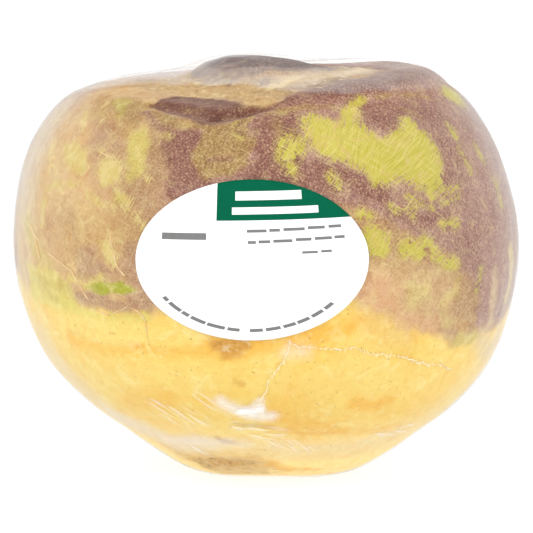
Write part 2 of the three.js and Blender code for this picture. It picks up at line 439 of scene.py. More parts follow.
# patches and soft strokes of colour, in the order they are laid. A patch: ink, opacity, softness in
# mm, outline. A stroke: ink, opacity, softness, half-width in mm, path.
skinPaint = [
    # left shoulder and side
    ("sand", 0.7, 6, 9, [(-80, 30), (-76, 15), (-74, 0)]),
    ("olive", 0.35, 7, 6, [(-34, 35), (-32, 24), (-31, 12)]),
    ("peach", 0.3, 5, 5, [(-62, 30), (-54, 24), (-50, 16)]),
    ("sand", 0.35, 5, 5, [(-62, 32), (-58, 20), (-50, 10)]),
    ("bronze", 0.75, 3, [(-66, 42), (-52, 42), (-42, 43), (-37, 38), (-36, 30), (-42, 31),
                         (-50, 33), (-58, 36)]),
    ("olive", 0.7, 2.4, [(-54, 43), (-44, 43), (-38, 39), (-37, 34), (-43, 36), (-49, 38)]),
    ("rose", 0.4, 4, [(-56, 35), (-44, 35), (-38, 29), (-42, 24), (-50, 28)]),
    ("moss", 0.65, 1.6, 1.6, [(-52, 41), (-48, 40), (-45.6, 37.6)]),
    ("plum", 0.8, 1.0, 0.7, [(-50.5, 38)]),
    ("rose", 0.6, 2, 1.4, [(-41, 29)]),
    ("lime", 0.8, 1.8, [(-38, 32), (-34, 34), (-31, 31), (-31, 24), (-34, 21), (-36, 26)]),
    ("olive", 0.3, 3, [(-31, 32), (-26, 31), (-22, 22), (-28, 20)]),
    ("moss", 0.45, 1.5, 1.2, [(-37, 17.8), (-35.5, 17.2)]),
    ("bronze", 0.4, 5, 6, [(-49, 9), (-36, 8), (-32, 10)]),
    ("rose", 0.25, 5, 4, [(-60, 8), (-54, 12)]),
    ("rose", 0.75, 2.2, [(-48, 4.5), (-42.5, 7), (-40, 3.5), (-37, 0.5), (-38, -1.5), (-47, -1.6)]),
    ("rose", 0.75, 1.8, [(-33, 8), (-29, 8), (-28, -2), (-33, -1), (-34, 3)]),
    ("bronze", 0.45, 1.4, 1, [(-46.5, -1), (-41, -1), (-33, 0)]),
    ("rose", 0.85, 1.6, [(-50, -5), (-44, -3.8), (-34, -5), (-27, -3), (-27, -7.5), (-33, -8),
                         (-40, -8), (-47, -7.5)]),
    ("lime", 0.5, 3, 2.4, [(-72, 9), (-64, 3), (-58, -1)]),
    ("spring", 0.85, 2.8, [(-72, -1), (-60, 0), (-52, -2.5), (-48, -8), (-54, -10.5), (-70, -9.5)]),
    ("lime", 0.6, 1.8, 1.2, [(-66, -3.5), (-54, -3.8), (-50, -4.6)]),
    ("moss", 0.3, 1.6, 0.8, [(-58, -7), (-50, -8.6)]),
    ("spring", 1, 1.6, 1.7, [(-54, -8.4), (-42, -10.4), (-33, -10.2), (-29, -8.8)]),
    ("moss", 0.4, 1.2, 0.5, [(-38, -9.4), (-31, -8.6)]),
    ("spring", 0.7, 1.4, 0.9, [(-50, -2), (-44, -3), (-40, -0.8)]),
    ("leaf", 1, 0.6, [(-44.6, -3.2), (-40, -1.4), (-34, -0.9), (-30, -2.4), (-34, -3.8), (-40, -4.4)]),
    # above the label
    ("deepPlum", 0.9, 1.6, [(-27, 34.5), (-18, 34.5), (-14, 30), (-12, 20), (-24, 18), (-24, 25),
                            (-28, 31)]),
    ("plum", 0.6, 2, 2, [(-20, 20), (-12, 20)]),
    ("deepPlum", 0.95, 2, [(-4, 38), (0, 39.6), (9, 39.6), (9, 20), (-6, 20), (-2, 28), (-3.5, 33)]),
    ("deepPlum", 0.8, 1.5, 1.2, [(-37, 38.6), (-32, 35.6), (-28, 34.4)]),
    ("olive", 0.95, 1.2, [(-20, 35.6), (-13, 35.8), (-9, 38), (-3, 39.6), (-5, 36), (-5.4, 33.6),
                          (-2.6, 32.4), (-4, 30), (-4.6, 26), (-9, 23.4), (-15, 22.4), (-18, 25),
                          (-19, 29), (-17, 31.5), (-17, 34)]),
    ("olive", 0.95, 1.0, [(-37, 39.6), (-29, 38.6), (-22, 36.8), (-18.5, 35.4), (-20, 34.2),
                          (-26, 34.2), (-31, 36)]),
    ("lime", 0.4, 1.4, 1, [(-27.5, 32.6), (-26, 32)]),
    ("bronze", 0.6, 1.4, 0.8, [(-24, 36.4), (-21, 35.8)]),
    ("deepPlum", 0.6, 1, 0.6, [(-14, 27), (-9, 27.6)]),
    ("deepPlum", 0.9, 1.2, 1.0, [(-21.4, 33.4), (-18.6, 32.4)]),
    ("darkPlum", 0.75, 0.5, 0.35, [(-7, 37.2), (-8.4, 36), (-8, 34.4), (-6.4, 33.8)]),
    ("lime", 0.5, 0.8, 0.5, [(-8.6, 37.4), (-9.2, 35.6), (-8.6, 33.6), (-6.6, 32.6)]),
    # painted shade: the dark band in the dip in front of the neck and the pit in it, laid in dark and
    # deep plum over the carved valley
    ("darkPlum", 1, 0.8, [(-41, 42.4), (-40, 50), (-34, 54), (-26, 53), (-18, 49.6), (-8, 45),
                          (0, 43.8), (11, 46.8), (9, 44.4), (0, 41.6), (-5, 39.6), (-10, 38),
                          (-15, 36.2), (-18, 36.2), (-22, 38), (-30, 39.4)]),
    ("deepPlum", 0.7, 1, 0.9, [(-34, 45.8), (-24, 45.2), (-16, 44.2)]),
    ("deepPlum", 0.5, 1.4, 1, [(-34, 41), (-24, 40), (-16, 38)]),
    ("darkPlum", 0.6, 1, 0.5, [(-20, 36.6), (-16, 36.2), (-12, 37.4)]),
    ("olive", 0.45, 0.8, 0.3, [(-28, 42.2), (-21, 41.9)]),
    ("darkPlum", 1, 0.5, 0.5, [(-16.5, 38.6), (-14.8, 39.2)]),
    # right side
    ("deepPlum", 0.8, 2.5, 2.4, [(4, 42.4), (12, 44.6), (20, 45), (30, 43.5)]),
    ("deepPlum", 0.75, 4, 4, [(7, 24), (13, 22.4)]),
    ("deepPlum", 0.9, 2, 2.2, [(14, 25), (21, 22.4), (28, 18.6)]),
    ("deepPlum", 0.6, 2.4, 2, [(30, 15), (38, 12), (46, 12)]),
    ("deepPlum", 0.8, 3, [(27, 40), (31, 42), (38, 43), (43, 41), (44, 38), (38, 33.6), (33, 34),
                          (29, 36)]),
    ("deepPlum", 0.4, 5, 5, [(48, 40), (54, 30), (52, 20)]),
    ("deepPlum", 0.6, 3, 2.4, [(47, 38), (52, 36.6), (58, 36)]),
    ("deepPlum", 0.8, 2, 1.6, [(15, 46.4), (24, 46), (34, 45.4), (43, 45.6)]),
    ("deepPlum", 0.4, 4, 4, [(50, 6), (55, -2), (56, -8)]),
    ("olive", 0.75, 1.8, 0.9, [(0, 40), (6, 40.6), (12, 41.4), (20, 41)]),
    ("olive", 0.6, 2, 1.4, [(2.6, 37), (4, 31), (7, 24)]),
    ("bronze", 0.5, 1.2, 0.7, [(22, 38), (26, 41), (30, 43)]),
    ("moss", 0.8, 1, 0.9, [(29, 42), (32, 42.8)]),
    ("olive", 0.7, 1.4, 0.7, [(36, 43), (44, 43.4), (52, 43), (60, 41)]),
    ("olive", 0.5, 1, 0.5, [(42, 39.5), (46, 38.5), (49, 36)]),
    ("bronze", 0.6, 2.4, [(14, 17), (22, 17), (28, 13.6), (34, 10), (46, 4), (50, 1), (48, -3),
                          (40, 2), (30, 6), (24, 4), (20, 8)]),
    ("beige", 0.85, 4, [(20, 5), (30, 5), (42, 1), (49, -1), (49, -12), (40, -13), (28, -9), (20, -5)]),
    ("tan", 0.5, 3, 2, [(26, 4), (36, 2), (46, -1)]),
    ("peach", 0.95, 2.6, [(20, 2), (27, 2), (32, -2), (30, -7), (26, -7), (20, -4)]),
    ("peach", 0.8, 2.6, 2, [(32, -9), (38, -11), (45, -13)]),
    ("paleLime", 0.7, 2.4, [(32, -1), (39, -2), (40, -6), (34, -7)]),
    ("paleLime", 0.7, 1.6, 1.2, [(44, -6.5), (47, -5)]),
    ("lime", 0.5, 1.4, 0.9, [(49, -2), (49, -6)]),
    ("bronze", 0.7, 3, [(49, 0), (53, -1), (59, -8), (59, -15), (52, -15), (49, -8)]),
    ("tan", 0.7, 2.4, [(48, -6), (53, -7), (58, -13), (60, -18), (50, -18), (44, -13)]),
    ("paleLime", 0.6, 1.6, 1.2, [(45, -9), (47, -12)]),
    ("sand", 0.6, 2.4, 2, [(66, -3), (67, -14)]),
    ("sand", 0.7, 4, 3, [(64, -18), (72, -22), (80, -20)]),
    ("rust", 0.4, 2, 1.6, [(51, -12), (54, -14)]),
    ("paleLime", 0.85, 1.8, 1.8, [(77, 1), (79, -5), (77, -10)]),
    ("lime", 0.7, 1.8, 1.5, [(52, -16.6), (60, -17)]),
    # the yellow below
    ("butter", 0.8, 4, 4, [(-64, -13), (-48, -13.5), (-32, -13)]),
    ("cream", 0.7, 6, 6, [(-72, -20), (-64, -34), (-55, -45)]),
    ("butter", 0.5, 5, 5, [(-44, -26), (-30, -24), (-14, -24)]),
    ("butter", 0.5, 5, 5, [(4, -24), (20, -24), (38, -26)]),
    ("peach", 0.25, 5, 4, [(24, -9), (34, -13)]),
    ("orange", 0.55, 2.6, 1.4, [(-54, -17), (-40, -17.6), (-24, -17), (-13, -16.4)]),
    ("orange", 0.9, 1.2, 0.8, [(-33, -16.4), (-31, -16.2)]),
    ("orange", 0.85, 3, [(-14, -10), (22, -9), (19, -12.4), (12, -14.4), (4, -14.6), (-2, -17),
                         (-10, -18.2), (-14, -15)]),
    ("rust", 0.7, 1.4, [(-13, -13), (-4, -13), (-3.4, -15), (-6.6, -17.4), (-10, -17.8), (-12.6, -16)]),
    ("rust", 0.5, 1, 0.6, [(-8, -24), (-6, -25)]),
    ("orange", 0.4, 4, 4, [(-28, -30), (-40, -32)]),
    ("orange", 0.65, 2.5, 1.8, [(24, -31), (31, -32), (35, -30)]),
    ("orange", 0.7, 2, 1.4, [(1, -39), (8, -41), (18, -42.4), (25, -41)]),
    ("bronze", 0.4, 1.6, 0.9, [(-9, -38.6), (-2, -38.4), (3, -39.4)]),
    ("orange", 0.4, 2.4, 1.6, [(28, -42), (38, -42.5), (46, -41)]),
    ("orange", 0.3, 5, 5, [(6, -30), (14, -36)]),
    ("cream", 0.6, 5, 5, [(-44, -50), (-10, -50), (25, -52), (50, -48)]),
    ("milk", 0.8, 5, 5, [(-60, -42), (-46, -46), (-36, -51), (-24, -49)]),
    ("milk", 0.2, 4, 3, [(4, -47), (22, -50), (36, -48)]),
    ("rose", 0.2, 4, 2, [(-48, -54), (-42, -58)]),
    ("orange", 0.5, 2.6, 2, [(2, -36), (12, -38), (20, -38)]),
    ("bronze", 0.6, 2, 1.4, [(-16, -46), (-12, -47)]),
    ("straw", 0.9, 3, [(-36, -56), (-24, -53), (-4, -54), (4, -60), (2, -68), (-26, -68), (-36, -62)]),
    ("orange", 0.5, 2, 1.4, [(-4, -57), (6, -60), (14, -62), (26, -62)]),
    ("bronze", 0.3, 2.4, 1.6, [(-40, -56), (-34, -60), (-30, -64)]),
    ("bronze", 0.45, 2, 2.4, [(-32, -60), (-20, -60), (-8, -60)]),
    ("rust", 0.5, 1.6, 1.2, [(-27, -61), (-22, -59), (-17, -60), (-20, -63)]),
    ("rust", 0.35, 1.2, 0.6, [(-18, -58.5), (-10, -58), (-5, -59)]),
    ("orange", 0.6, 2, 1.6, [(2, -61), (10, -64)]),
]

# patches scuffed down to yellow-green: an outline, or half-width in mm and a path
scuffs = [
    [(9.5, 38), (13, 39.4), (18, 37.4), (21, 36.6), (22, 39.6), (26, 41.6), (31, 44), (28.5, 40),
     (26, 37), (28, 35), (31, 31.4), (34, 32.6), (38, 33.6), (41, 36.4), (44, 37.2), (45.4, 34),
     (48.6, 31), (49.2, 25), (47.6, 19.6), (44, 17.6), (42, 16.8), (40, 18.8), (37, 20.6),
     (33, 21.6), (29, 21.4), (26, 21), (24.4, 24), (20, 26.4), (14, 27.8), (11, 30.6), (10, 34)],
    (0.5, [(44, 17.4), (53, 18.8)]),
    (0.35, [(46, 15.8), (52, 16.6)]),
    (0.35, [(30, 16.4), (36, 13.6)]),
    (0.35, [(31, 14.6), (37, 15.6)]),
    (0.35, [(35, 18), (42, 14.6)]),
    (3.1, [(5.6, 29.6), (6.8, 29.8)]),
    (0.9, [(5.2, 26.4), (6, 25.6)]),
    (0.7, [(6, 34.2)]),
    (0.8, [(15.6, 23.4), (17, 21)]),
    [(70, 41.6), (75, 43.6), (82, 43), (87, 40), (81, 35.6), (75, 37.4), (71.6, 39.6)],
    (0.7, [(59, 33), (59.5, 30)]),
    (0.7, [(58.4, 27), (60.6, 22)]),
    (0.6, [(68, 27.5), (69.5, 23)]),
    (0.7, [(73, 18), (74.5, 12)]),
    (0.9, [(44.5, 11), (49.5, 10.8)]),
    (1.1, [(38.4, 7.8), (40.8, 6.4), (40.4, 4.4)]),
    (1.8, [(43, 3.4), (48, 1.8)]),
    (0.5, [(58.5, -1), (57, -5)]),
    (1.0, [(22, 14.6), (24.6, 14.2)]),
    (3.2, [(24.4, 9.6), (25.8, 8)]),
    (2.3, [(32.6, 6.4), (36.4, 5.8)]),
]

# patches rubbed pale green, on the paler side
rubs = [
    [(-61, 27), (-56, 29), (-50, 27), (-47, 23), (-49, 20.8), (-54, 22), (-59, 24)],
    [(-45, 25), (-42, 26.6), (-38, 26), (-36, 24), (-36, 20.5), (-41, 19.6), (-44, 21.5)],
    (0.5, [(-46, 27.6), (-38.6, 25.2)]),
    (0.4, [(-50, 25), (-44, 22)]),
    (0.8, [(-63, 17), (-56, 19), (-50, 19.4)]),
    (0.9, [(-46, 18), (-41, 15.4), (-38, 15.4)]),
    (1.1, [(-36.5, 17.6), (-33, 16.6)]),
    (0.8, [(-34, 16), (-31, 14), (-28, 10.6)]),
    (1.2, [(-63, 14), (-62, 9)]),
    (0.7, [(-79, 9), (-72, 6), (-66, 2)]),
    (0.6, [(-74, 9), (-66, 5), (-62, 0)]),
    [(-41, 8), (-38, 8.4), (-36, 6), (-34.6, 3), (-36, 1.4), (-38.6, 3.6)],
    (0.6, [(-31, 23.6), (-29, 22)]),
    (0.9, [(-34, 29), (-32, 26)]),
    (0.6, [(-35.4, 34.4), (-33, 32.6)]),
    (0.5, [(-26.5, 33), (-25, 32.6)]),
    (0.4, [(-56, 40), (-50, 34)]),
    (0.4, [(-60, 36), (-55, 31)]),
    (0.5, [(-66, 26), (-64, 20)]),
]

# corky scars outside the crown
corkScars = [
    [(-13.4, -12), (-3.6, -12), (-3.6, -15), (-6.6, -17.2), (-10, -17.6), (-12.8, -16)],
    [(-38, -58), (-30, -55.6), (-20, -53.4), (-4, -54.4), (3, -59), (8, -66), (0, -69), (-30, -69),
     (-38, -64)],
    [(-15.6, -46), (-12.4, -45.6), (-12.4, -47.4), (-15, -47.6)],
]

# how much of the purple skin's felt of flecks shows where an ink has been laid
feltShare = {
    "deepPlum": 1, "darkPlum": 0.6, "plum": 1, "olive": 0.95, "bronze": 0.6, "rose": 0.7,
    "beige": 0.3, "lime": 0.35, "paleLime": 0.25, "moss": 0.3, "sand": 0.15, "peach": 0.2,
    "butter": 0, "cream": 0,
}


def over(colour, name, amount):
    # an ink laid over the colours so far
    return colour + (np.array(inks[name]) - colour) * np.clip(amount, 0, 1)[:, None]


def skinZones(dirs, points, rag):
    # millimetres above the yellow's upper edge, that as a share of 0 to 1, and how purple the skin is
    azimuth, latitude = azimuthOf(dirs), latitudeOf(dirs)
    shore = roundBody(azimuth, [
        (-150, -12), (-90, -5), (-60, -7), (-30, -7.5), (-12, -6), (0, -6), (18, -4), (25, -6),
        (31, -8.5), (38, -11), (44, -13.5), (52, -17), (62, -18), (80, -15), (110, -10), (150, -15),
        (180, -10)])
    above = (latitude - shore) * alongDegree + rag
    plumShare = roundBody(azimuth, [
        (-180, 0.9), (-140, 0.8), (-100, 0.35), (-70, 0.12), (-35, 0.1), (-24, 0.55), (-10, 0.9),
        (60, 1), (120, 1), (150, 0.95)])
    patchy = grain(points, 22 * mm, 11, 2)
    plumShare = np.clip(plumShare + 0.35 * patchy * (plumShare < 0.7), 0, 1) * ease(-1, 5, above)
    return above, ease(-2.2, 2.2, above), plumShare


def groundColours(dirs, points, upper, plumShare):
    latitude = latitudeOf(dirs)
    colour = np.tile(np.array(inks["golden"]), (len(dirs), 1))
    colour = over(colour, "butter", 0.5 + 0.7 * grain(points, 14 * mm, 5, 2))
    colour = over(colour, "cream", ease(-34, -56, latitude) * 0.7)
    # painted light: the skin is made up to a quarter brighter towards the bottom, lifting the shaded
    # underside
    colour[:, :3] *= 1 + 0.24 * ease(-34, -60, latitude)[:, None]
    colour = over(colour, "beige", upper)
    colour = over(colour, "mauve", upper * plumShare)
    return over(colour, "plum", upper * plumShare * (0.6 + 0.6 * grain(points, 12 * mm, 21, 2)))


def stainColours(dirs, points, colour, above, upper):
    # away from the label: stains, and a green fringe where purple meets yellow
    away = ease(74, 96, np.abs(azimuthOf(dirs)))
    stain = grain(points, 17 * mm, 23, 3)
    colour = over(colour, "olive", 0.7 * away * upper * ease(0.25, 0.5, stain))
    colour = over(colour, "deepPlum", 0.7 * away * upper * ease(-0.2, -0.45, stain))
    fringe = np.exp(-((above + 1.2) / 2.2) ** 2) * ease(-0.3, 0.5, grain(points, 14 * mm, 27, 2))
    colour = over(colour, "spring", 0.9 * away * fringe)
    lower = (1 - upper) * away
    colour = over(colour, "orange", 0.7 * lower * ease(0.2, 0.5, grain(points, 13 * mm, 25, 3)))
    return over(colour, "rust", 0.5 * lower * ease(0.5, 0.62, grain(points, 9 * mm, 29, 2)))


def paintPatches(dirs, colour, plumShare, worn):
    for name, opacity, soft, *shape in skinPaint:
        if len(shape) == 2:
            distance = strokeDistance(dirs, shape[1]) - shape[0]
        else:
            distance = patchDistance(dirs, shape[0])
        amount = opacity * ease(soft * 0.6, -soft * 0.6, distance + worn * min(1, 0.4 + soft / 3))
        colour = over(colour, name, amount)
        target = feltShare.get(name)
        if target is not None:
            plumShare = plumShare + (target - plumShare) * amount
    return colour, plumShare


def crownColours(dirs, colour, rag, worn):
    # the corky crown with its dark right shoulder, the cut end of the neck, a painted highlight right of
    # the neck, painted shade in a pit in front of it, and how corky the skin is
    azimuth, latitude = azimuthOf(dirs), latitudeOf(dirs)
    crownEdge = roundBody(azimuth, [
        (-180, 54), (-130, 52), (-90, 50), (-60, 48), (-42, 50), (-34, 53.6), (-26, 52.6), (-18, 49.4),
        (-10, 45.6), (-3, 44), (4, 44.8), (12, 47.5), (22, 51), (34, 54), (60, 57), (90, 57),
        (140, 56)])
    cork = (latitude - crownEdge) * alongDegree + 1.5 * rag
    colour = over(colour, "tan", ease(-1, 1.6, cork))
    cork = np.minimum(cork, (65 - latitude) * alongDegree + rag)
    for outline in corkScars:
        cork = np.maximum(cork, np.minimum(-patchDistance(dirs, outline), 0.7) + 0.6 * worn)
    shoulder = roundBody(azimuth, [
        (-180, 0), (-50, 0), (-10, 0.1), (6, 0.2), (18, 0.9), (40, 1), (70, 0.8), (110, 0)])
    shoulder *= ease(44, 48, latitude) * ease(62, 54, latitude + rag)
    colour = over(colour, "darkPlum", 0.8 * shoulder)
    ragged = latitude + 2.2 * rag
    neckEdge = roundBody(azimuth, [
        (-180, 64), (-90, 68), (-50, 66), (-20, 65), (0, 67), (30, 70), (60, 68)])
    colour = over(colour, "ash", ease(-2, 2.5, ragged - neckEdge) * 0.9)
    colour = over(colour, "grape", ease(71, 76, ragged) * 0.95)
    # painted highlight: cream laid just right of the neck
    pale = strokeDistance(dirs, [(2, 59), (10, 63), (22, 66)]) - 1.5
    colour = over(colour, "cream", 0.7 * ease(2.2, -1.2, pale + worn))
    # a paler milky band along the upper right shoulder
    milkBand = strokeDistance(dirs, [(16, 57), (40, 60), (75, 61), (105, 61)]) - 2
    colour = over(colour, "milk", 0.5 * ease(3, -2, milkBand + worn))
    # painted shade: dark plum laid in the small pit in front of the neck
    shadedPit = strokeDistance(dirs, [(-16.5, 38.6), (-14.8, 39.2)])
    return over(colour, "darkPlum", 0.7 * ease(0.9, 0.2, shadedPit)), cork


def skinColours(dirs, points):
    rag = 2.2 * grain(points, 9 * mm, 3, 3)
    worn = 1.1 * grain(points, 3.2 * mm, 31, 2) + 0.5 * grain(points, 1.2 * mm, 33)
    above, upper, plumShare = skinZones(dirs, points, rag)
    colour = groundColours(dirs, points, upper, plumShare)
    colour = stainColours(dirs, points, colour, above, upper)
    colour, plumShare = paintPatches(dirs, colour, plumShare, worn)
    colour, cork = crownColours(dirs, colour, rag, worn)
    return colour, plumShare, cork, upper


def wornField(dirs, points, shapes, seed):
    # millimetres inside the nearest worn patch; away from the label they lie where chance puts them
    azimuth, latitude = azimuthOf(dirs), latitudeOf(dirs)
    away = ease(82, 100, np.abs(azimuth)) * ease(-2, 6, latitude) * ease(50, 44, latitude)
    inside = np.where(away > 0, 9 * grain(points, 15 * mm, seed, 3) - 4.6 - 5 * (1 - away), -6.0)
    inside = np.maximum(inside, -6.0)
    rag = grain(points, 4 * mm, 41, 2)
    for shape in shapes:
        if isinstance(shape, list):
            inside = np.maximum(inside, -patchDistance(dirs, shape) + 0.8 * rag)
        else:
            width, path = shape
            inside = np.maximum(inside, width - strokeDistance(dirs, path) + 0.6 * rag * min(width, 1.5))
    return inside


def crownRelief(dirs, points, cork):
    # knobs and torn leaf scars, in rings round the neck
    latitude = latitudeOf(dirs)
    wave = latitude + 9 * grain(points, 16 * mm, 55, 2)
    rings = 1 - np.abs(np.sin(wave * 0.36)) * 2
    knobs = grain(points, 6 * mm, 51, 3)
    crumbs = grain(points, 2 * mm, 53, 2)
    relief = 0.4 * rings * (0.5 + knobs) + 0.5 * knobs + 0.22 * crumbs
    return relief * ease(0, 3, cork)


def settle(dirs):
    # how many mm lower than in CAD the crown lies: its left back and the ring round the neck lie
    # lower, and its right lies higher
    azimuth, latitude = azimuthOf(dirs), latitudeOf(dirs)
    back = ease(70, 115, -azimuth) * ease(178, 140, -azimuth)
    back *= ease(36, 44, latitude) * ease(64, 54, latitude)
    ring = ease(50, 56, latitude) * ease(71, 65, latitude)
    flank = np.exp(-((azimuth + 72) / 40) ** 2) * ease(56, 63, latitude) * ease(79, 70, latitude)
    right = ease(6, 40, azimuth) * ease(165, 120, azimuth)
    right *= ease(40, 49, latitude) * ease(72, 62, latitude)
    return 1.3 * back + 0.9 * ring + 1.3 * flank - 2.0 * right


def makeRoot():
    dirs, quads = ballGrid(root["cells"])
    rounds = root["smoothRounds"]
    reach = neighbourSmooth(outerDistance(smoothTree("root"), dirs), quads, rounds) / mm
    azimuth, latitude = azimuthOf(dirs), latitudeOf(dirs)
    # the corky crown swells up close under the film, most of all towards the label's side
    filmReach = neighbourSmooth(outerDistance(smoothTree("shrink_film"), dirs), quads, rounds) / mm
    hollow = filmReach - reach
    swell = roundBody(azimuth, [(-180, 0.45), (-110, 0.6), (-60, 0.85), (0, 0.9), (70, 0.85),
                                (120, 0.6)])
    reach += swell * ease(36, 45, latitude) * np.maximum(hollow - 1.3, 0) - settle(dirs)
    points = core + dirs * reach[:, None] * mm
    colour, plumShare, cork, upper = skinColours(dirs, points)
    offset = 0.45 + 0.28 * grain(points, 16 * mm, 61, 2) + 0.05 * grain(points, 3 * mm, 63)
    offset += crownRelief(dirs, points, cork)
    for depth, width, path in root["relief"]:
        offset += depth * np.exp(-(strokeDistance(dirs, path) / width) ** 2)
    offset *= ease(-80, -64, latitude) * 0.9 + 0.1
    offset = np.minimum(offset, 0.85 + 0.9 * ease(44, 50, latitude) * ease(80, 68, latitude))
    points = core + dirs * (reach + offset)[:, None] * mm
    points[:, 2] = np.maximum(points[:, 2], rootLow.z)
    piece = addPiece("rutabagaRoot", points, quads)
    addSkinUv(piece, dirs)
    addFields(piece, tint=colour, plumShare=plumShare, cork=cork, upper=upper,
              scuff=wornField(dirs, points, scuffs, 91), rub=wornField(dirs, points, rubs, 97))
    return piece


def purpleSkin(tree, tint, fine, blotch):
    # a felt of pale flecks over darker flesh
    dark = blend(tree, 1.0, tint, (0.60, 0.50, 0.50, 1), "MULTIPLY")
    purple = blend(tree, times(tree, between(tree, fine, 0.49, 0.38), 0.95), tint, dark)
    purple = blend(tree, times(tree, blotch, 0.22), purple, dark)
    light = blend(tree, 0.55, tint, ink(234, 202, 162))
    return blend(tree, times(tree, between(tree, fine, 0.54, 0.62), 0.8), purple, light)


def yellowSkin(tree, place, tint, fine, blotch):
    # soft cloudy grain, with warm and pale clouds and small brown dots
    dark = blend(tree, 1.0, tint, (0.92, 0.82, 0.62, 1), "MULTIPLY")
    shade = times(tree, between(tree, fine, 0.49, 0.38), 0.45)
    yellow = blend(tree, plus(tree, times(tree, blotch, 0.35), shade), tint, dark)
    spots = between(tree, speckle(tree, place, 1.6, 2, 0.55), 0.70, 0.78)
    yellow = blend(tree, times(tree, spots, 0.6), yellow, ink(226, 168, 82))
    warm = between(tree, speckle(tree, place, 7, 5, 0.68, 0.6), 0.5, 0.66, 0.0, 0.5)
    yellow = blend(tree, warm, yellow, blend(tree, 1.0, yellow, (1.0, 0.86, 0.66, 1), "MULTIPLY"))
    glow = between(tree, speckle(tree, place, 4.5, 5, 0.68, 0.6), 0.52, 0.68, 0.0, 0.4)
    yellow = blend(tree, glow, yellow, ink(255, 240, 170))
    dots = between(tree, speckle(tree, place, 0.9, 1, 0.5), 0.70, 0.76, 0.0, 0.55)
    return blend(tree, dots, yellow, ink(196, 138, 66))


def mottledSkin(tree, skinUv, colour, tint, mottle):
    # above the yellow everything is mottled, rubbed and finely scratched
    upper = field(tree, "upper")
    rubbed = blend(tree, 1.0, colour, (0.80, 0.68, 0.58, 1), "MULTIPLY")
    shade = between(tree, mottle, 0.5, 0.36, 0.0, 0.6)
    colour = blend(tree, times(tree, upper, shade), colour, rubbed)
    # dark skin keeps its depth: less of the pale mottling and scratches lie on it
    lightness = feed(tree, "ShaderNodeRGBToBW", {0: tint})
    light = times(tree, upper, between(tree, lightness, 0.07, 0.22, 0.25, 1.0))
    pale = between(tree, mottle, 0.54, 0.68, 0.0, 0.4)
    colour = blend(tree, times(tree, light, pale), colour, ink(222, 202, 136))
    hairs = most(tree, streaks(tree, skinUv, 62, 6, 0.22), streaks(tree, skinUv, -25, 7, 0.25))
    hairs = between(tree, hairs, 0.60, 0.72, 0.0, 0.5)
    return blend(tree, times(tree, light, hairs), colour, ink(236, 220, 164))


def scuffedSkin(tree, skinUv, colour, rag, blotch, mottle):
    # patches rubbed pale or scuffed yellow-green, with scratches running across them
    across = feed(tree, "ShaderNodeSeparateXYZ", {0: skinUv})
    turnover = between(tree, across, 0.30, 0.36)
    steep = times(tree, streaks(tree, skinUv, 62, 7, 0.4, 4), minus(tree, 1.0, turnover))
    shallow = times(tree, streaks(tree, skinUv, 24, 7, 0.4, 4), turnover)
    alongScuff = plus(tree, steep, shallow)
    acrossScuff = times(tree, streaks(tree, skinUv, -48, 5, 0.4, 4), 0.93)
    scratches = most(tree, alongScuff, acrossScuff)
    rub = plus(tree, field(tree, "rub"), rag)
    rub = plus(tree, rub, between(tree, scratches, 0.45, 0.62, -0.9, 0.5))
    rubColour = blend(tree, blotch, ink(228, 210, 140), ink(218, 196, 118))
    colour = blend(tree, between(tree, rub, -0.6, 0.7, 0.0, 0.85), colour, rubColour)
    inside = field(tree, "scuff")
    scuff = plus(tree, inside, times(tree, rag, 1.2))
    scuff = minus(tree, scuff, between(tree, scratches, 0.46, 0.66, -0.8, 1.5))
    scuff = minus(tree, scuff, between(tree, mottle, 0.46, 0.32, 0.0, 2.6))
    green = blend(tree, between(tree, alongScuff, 0.4, 0.62), ink(192, 181, 74), ink(217, 204, 107))
    green = blend(tree, between(tree, mottle, 0.5, 0.66), green, ink(214, 186, 116))
    green = blend(tree, times(tree, blotch, 0.4), green, ink(198, 184, 72))
    colour = blend(tree, between(tree, scuff, -0.9, 1.3), colour, green)
    cuts = most(tree, streaks(tree, skinUv, 38, 9, 0.24, 1), streaks(tree, skinUv, -30, 8, 0.22, 1))
    cuts = between(tree, cuts, 0.60, 0.70, 0.0, 0.65)
    return blend(tree, times(tree, cuts, between(tree, inside, -3.5, 1.0)), colour, ink(238, 224, 150))


def corkySkin(tree, place, tint, corkNoise):
    dark = blend(tree, 1.0, tint, (0.54, 0.45, 0.38, 1), "MULTIPLY")
    light = blend(tree, 0.7, tint, ink(236, 214, 168))
    cork = blend(tree, between(tree, corkNoise, 0.44, 0.34), tint, dark)
    cork = blend(tree, between(tree, corkNoise, 0.52, 0.62), cork, light)
    crests = between(tree, speckle(tree, place, 6, 4, 0.66, 0.4), 0.56, 0.68, 0.0, 0.45)
    return blend(tree, crests, cork, ink(224, 174, 108))


